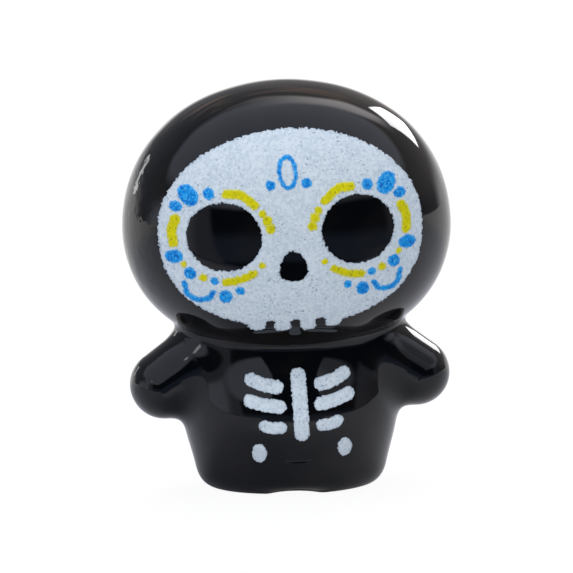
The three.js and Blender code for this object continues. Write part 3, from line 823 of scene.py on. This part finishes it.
def make_floor():
    """A white sheet under and behind the figure.

    In reflections it glows with painted light: strongly behind the figure and a little before it, more on
    the figure's left than its right.
    Close before the figure the glow is faint, so the paper's own shadow shows, and at its front edge a
    painted dusky glow takes over.
    """
    front = (
        (-FLOOR_HALF_WIDTH, FLOOR_FRONT_Y),
        (-NOTCH_MOUTH_HALF_WIDTH, FLOOR_FRONT_Y),
        (-NOTCH_HALF_WIDTH, NOTCH_Y),
        (NOTCH_HALF_WIDTH, NOTCH_Y),
        (NOTCH_MOUTH_HALF_WIDTH, FLOOR_FRONT_Y),
        (FLOOR_HALF_WIDTH, FLOOR_FRONT_Y),
    )
    count = len(front)
    corners = [(x * MM, y * MM, 0) for x, y in front]
    corners += [(x * MM, FLOOR_BACK_Y * MM, 0) for x, y in front]
    mesh = bpy.data.meshes.new("floor")
    mesh.from_pydata(corners, [], [(i, i + 1, i + 1 + count, i + count) for i in range(count - 1)])
    floor = bpy.data.objects.new("floor", mesh)
    bpy.context.collection.objects.link(floor)
    material, nodes = new_material("floor_paper")
    across, behind, _ = nodes.parts(nodes.place_mm())
    from_middle = nodes.math("ABSOLUTE", across)
    path = nodes.add("ShaderNodeLightPath")
    mirrored = nodes.math("MAXIMUM", path.outputs["Is Glossy Ray"], path.outputs["Is Transmission Ray"])
    # Painted light: how much the paper glows in reflections, by place; faint close before the figure and
    # on its right.
    painted_glow_share = nodes.product(nodes.ramp(behind, -8.0, -20.0, 0.0, 0.85), nodes.ramp(from_middle, 14.0, 7.0))
    painted_glow_share = nodes.math("MAXIMUM", painted_glow_share, nodes.ramp(behind, 0.0, 80.0, 0.0, 0.9))
    painted_glow_share = nodes.math("MAXIMUM", painted_glow_share, nodes.ramp(across, -4.0, 12.0, 0.03, 0.32))
    edge = nodes.ramp(from_middle, NOTCH_HALF_WIDTH, NOTCH_MOUTH_HALF_WIDTH, NOTCH_Y, FLOOR_FRONT_Y)
    fading = nodes.ramp(nodes.math("SUBTRACT", behind, edge), FLOOR_FADE, 0.0)
    seen = nodes.product(path.outputs["Is Camera Ray"], PAPER_GLOW_SHARE)
    share = nodes.math("MAXIMUM", seen, nodes.product(mirrored, painted_glow_share))
    paper = nodes.add("ShaderNodeBsdfDiffuse", {"Color": (*PAPER_COLOUR, 1)})
    glow = nodes.add("ShaderNodeEmission", {"Color": (1, 1, 1, 1), "Strength": PAPER_GLOW})
    sheet = nodes.add("ShaderNodeMixShader", {0: share, 1: paper.outputs[0], 2: glow.outputs[0]})
    # A painted dusky glow, seen only in reflections, towards the floor's front edge.
    painted_dusk_glow = nodes.add("ShaderNodeEmission", {"Color": (*FRONT_GLOW, 1), "Strength": 1.0})
    faded = nodes.product(fading, mirrored)
    both = nodes.add("ShaderNodeMixShader", {0: faded, 1: sheet.outputs[0], 2: painted_dusk_glow.outputs[0]})
    nodes.add("ShaderNodeOutputMaterial", {"Surface": both.outputs[0]})
    mesh.materials.append(material)


def way_to(azimuth, elevation):
    """A direction from the figure: azimuth 0 lies ahead of its face, and 90 on its left."""
    az = math.radians(azimuth)
    el = math.radians(elevation)
    return Vector((math.sin(az) * math.cos(el), -math.cos(az) * math.cos(el), math.sin(el)))


def window_share(nodes, way):
    """How far a direction lies in the bright window behind the figure, which has five corners."""
    corners = [way_to(*corner) for corner in WINDOW_CORNERS]
    share = 1.0
    for corner, following in zip(corners, corners[1:] + corners[:1]):
        inward = tuple(following.cross(corner).normalized())
        past = nodes.vector("DOT_PRODUCT", way, inward)
        share = nodes.product(nodes.ramp(past, -0.006, 0.006), share)
    return share


def dark_front(nodes, aside, ahead, z):
    """How far a direction lies between the sides of the unlit part of the studio ahead of the figure."""
    left_edge = nodes.math("MULTIPLY_ADD", nodes.math("MAXIMUM", z, -0.4), -0.59, -1.15)
    rise = nodes.math("MAXIMUM", nodes.math("ADD", z, 0.25), 0.0)
    right_edge = nodes.math("MINIMUM", nodes.math("MULTIPLY_ADD", rise, 12.0, 1.3), 2.1)
    return nodes.product(
        nodes.ramp(nodes.math("SUBTRACT", aside, left_edge), -0.1, 0.1),
        nodes.ramp(nodes.math("SUBTRACT", right_edge, aside), -0.35, 0.35),
        nodes.ramp(ahead, 0.02, 0.1),
    )


def studio_below(nodes, x, y, z, aside, ahead):
    """The studio below its horizon: a white sweep behind the figure, grey sides and a dark front."""
    left = nodes.mix(nodes.ramp(aside, -1.6, -2.6), LEFT_SIDE, FAR_LEFT_SIDE)
    sides = nodes.mix(nodes.ramp(x, -0.3, 0.3), left, RIGHT_SIDE)
    rear = nodes.ramp(nodes.math("MULTIPLY_ADD", x, 0.22, y), -0.1, 0.2)
    sides = nodes.mix(rear, sides, REAR_SIDES)
    lit = nodes.mix(nodes.ramp(y, 0.5, 0.72), sides, WHITE_SWEEP)
    glow = nodes.product(nodes.ramp(z, 0.02, -0.14), nodes.ramp(z, -0.42, -0.34))
    front = nodes.mix(glow, FRONT_DARK, FRONT_GLOW)
    return nodes.mix(dark_front(nodes, aside, ahead, z), lit, front)


def studio_above(nodes, way, x, y, z):
    """The studio above its horizon: a wall with shelves, and a pale ceiling with a bright card."""
    wall = nodes.mix(nodes.ramp(x, -0.3, 0.3), WALL_LEFT, WALL_RIGHT)
    flattened = nodes.vector("MULTIPLY", way, (1.5, 1.5, 9.0))
    shelves = nodes.product(
        nodes.ramp(nodes.noise(flattened, 1.6, 2.0, 0.6), 0.5, 0.62),
        nodes.ramp(nodes.math("ABSOLUTE", x), 0.5, 0.25),
    )
    wall = nodes.mix(shelves, wall, SHELVES)
    ceiling = nodes.mix(nodes.ramp(x, -0.5, 0.7), CEILING_LEFT, CEILING_RIGHT)
    overhead = nodes.product(nodes.ramp(x, 0.3, 0.7), nodes.ramp(y, 0.1, -0.15), nodes.ramp(z, 0.4, 0.55))
    beside = nodes.product(nodes.ramp(x, 0.2, 0.45), nodes.ramp(y, -0.3, -0.6), nodes.ramp(z, 0.55, 0.42))
    ceiling = nodes.mix(nodes.math("MAXIMUM", overhead, beside), ceiling, CEILING_SHADE)
    edge = nodes.math("ADD", nodes.ramp(y, -0.35, 0.0, 0.1, 0.42), nodes.ramp(y, 0.1, 0.55, 0.0, 0.4))
    upper = nodes.mix(nodes.ramp(nodes.math("SUBTRACT", z, edge), -0.08, 0.08), wall, ceiling)
    card = nodes.product(
        nodes.ramp(y, 0.43, 0.52),
        nodes.ramp(y, 0.67, 0.6),
        nodes.ramp(z, 0.5, 0.65),
        nodes.ramp(x, -0.2, 0.3),
        nodes.ramp(x, 0.72, 0.45),
    )
    return nodes.mix(card, upper, CEILING_CARD)


def horizon_height(nodes, y, aside, ahead):
    """How high the lower studio reaches: higher ahead of the figure, and highest in the middle there."""
    crown = nodes.product(
        nodes.ramp(aside, -0.42, -0.25),
        nodes.ramp(aside, 0.55, 0.38),
        nodes.ramp(ahead, 0.3, 0.5),
    )
    far_right = nodes.ramp(aside, 1.2, 2.2, 0.0, 0.02)
    front = nodes.math("ADD", nodes.ramp(aside, -0.3, 0.3, 0.135, 0.18), far_right)
    front = nodes.math("MULTIPLY_ADD", crown, 0.36, front)
    return nodes.math("MULTIPLY_ADD", nodes.ramp(y, 0.3, -0.1), front, 0.12)


def make_world():
    """Plain white to the camera. Reflections show a studio with a white sweep behind the figure."""
    world = bpy.data.worlds.new("studio")
    bpy.context.scene.world = world
    world.use_nodes = True
    nodes = Nodes(world.node_tree)
    way = nodes.add("ShaderNodeTexCoord").outputs["Generated"]
    x, y, z = nodes.parts(way)
    ahead = nodes.math("MAXIMUM", nodes.product(y, -1.0), 0.02)
    aside = nodes.math("DIVIDE", x, ahead)
    below = studio_below(nodes, x, y, z, aside, ahead)
    above = studio_above(nodes, way, x, y, z)
    over_horizon = nodes.math("SUBTRACT", z, horizon_height(nodes, y, aside, ahead))
    over_horizon = nodes.math("DIVIDE", over_horizon, nodes.ramp(y, -0.4, 0.0, 0.04, 0.11))
    colour = nodes.mix(nodes.ramp(over_horizon, -1.0, 1.0), below, above)
    colour = nodes.mix(window_share(nodes, way), colour, WINDOW)
    path = nodes.add("ShaderNodeLightPath")
    colour = nodes.mix(path.outputs["Is Camera Ray"], colour, (1.0, 1.0, 1.0))
    sky = nodes.add("ShaderNodeBackground", {"Color": colour, "Strength": 1.0})
    nodes.add("ShaderNodeOutputWorld", {"Surface": sky.outputs[0]})


LAMP_AIM = Vector((0, 0, 14.5)) * MM
WHITE = (1.0, 1.0, 1.0)
WARM_WHITE = (1.0, 0.99, 0.97)


def add_lamp(name, azimuth, elevation, distance, size, radiance, colour=WHITE, turn=0, mirrored=False):
    """A soft box that faces the figure, in metres. Its power comes from how bright its face is."""
    light = bpy.data.lights.new(name, "AREA")
    light.shape = "RECTANGLE"
    light.size, light.size_y = size
    light.energy = radiance * math.pi * size[0] * size[1]
    light.color = colour
    lamp = bpy.data.objects.new(name, light)
    bpy.context.collection.objects.link(lamp)
    way = way_to(azimuth, elevation)
    lamp.matrix_world = (
        Matrix.Translation(LAMP_AIM + way * distance)
        @ way.to_track_quat("Z", "Y").to_matrix().to_4x4()
        @ Matrix.Rotation(math.radians(turn), 4, "Z")
    )
    lamp.visible_glossy = mirrored
    lamp.visible_camera = False


add_lamp("left_strip", -141, 10.5, 0.6, (0.055, 0.14), 2.5, turn=20, mirrored=True)
add_lamp("left_lamp", -57, 22, 0.6, (0.05, 0.04), 4.0, mirrored=True)
add_lamp("top_back", 180, 75, 0.8, (0.6, 0.6), 2.6)
add_lamp("left_fill", -28, 4, 0.8, (0.6, 0.4), 2.8, WARM_WHITE)
add_lamp("right_fill", 28, 4, 0.8, (0.6, 0.4), 2.35, WARM_WHITE)

make_floor()
make_world()

CAMERA_AIM = Vector((0.05, 0, 13.75)) * MM
CAMERA_AZIMUTH = -3.5
CAMERA_ELEVATION = 9.0
CAMERA_ROLL = math.radians(1.1)
CAMERA_DISTANCE = 260 * MM
CAMERA_SIDESTEP = 0.1368 * MM
SENSOR_WIDTH = 36
FRAME_PIXELS = 573
FOCAL_PIXELS = 3801


def make_camera():
    """The photograph's view: slightly from the figure's right and above, and a little rolled."""
    data = bpy.data.cameras.new("camera")
    data.sensor_width = SENSOR_WIDTH
    data.lens = SENSOR_WIDTH * FOCAL_PIXELS / FRAME_PIXELS
    data.clip_start = 0.01
    camera = bpy.data.objects.new("camera", data)
    bpy.context.collection.objects.link(camera)
    back = way_to(CAMERA_AZIMUTH, CAMERA_ELEVATION)
    right = Vector((0, 0, 1)).cross(back).normalized()
    up = back.cross(right)
    rolled_right = right * math.cos(CAMERA_ROLL) - up * math.sin(CAMERA_ROLL)
    rolled_up = right * math.sin(CAMERA_ROLL) + up * math.cos(CAMERA_ROLL)
    place = CAMERA_AIM + back * CAMERA_DISTANCE - rolled_right * CAMERA_SIDESTEP
    turn = Matrix((rolled_right, rolled_up, back)).transposed()
    camera.matrix_world = Matrix.Translation(place) @ turn.to_4x4()
    bpy.context.scene.camera = camera


make_camera()
bpy.context.scene.view_settings.view_transform = "Standard"
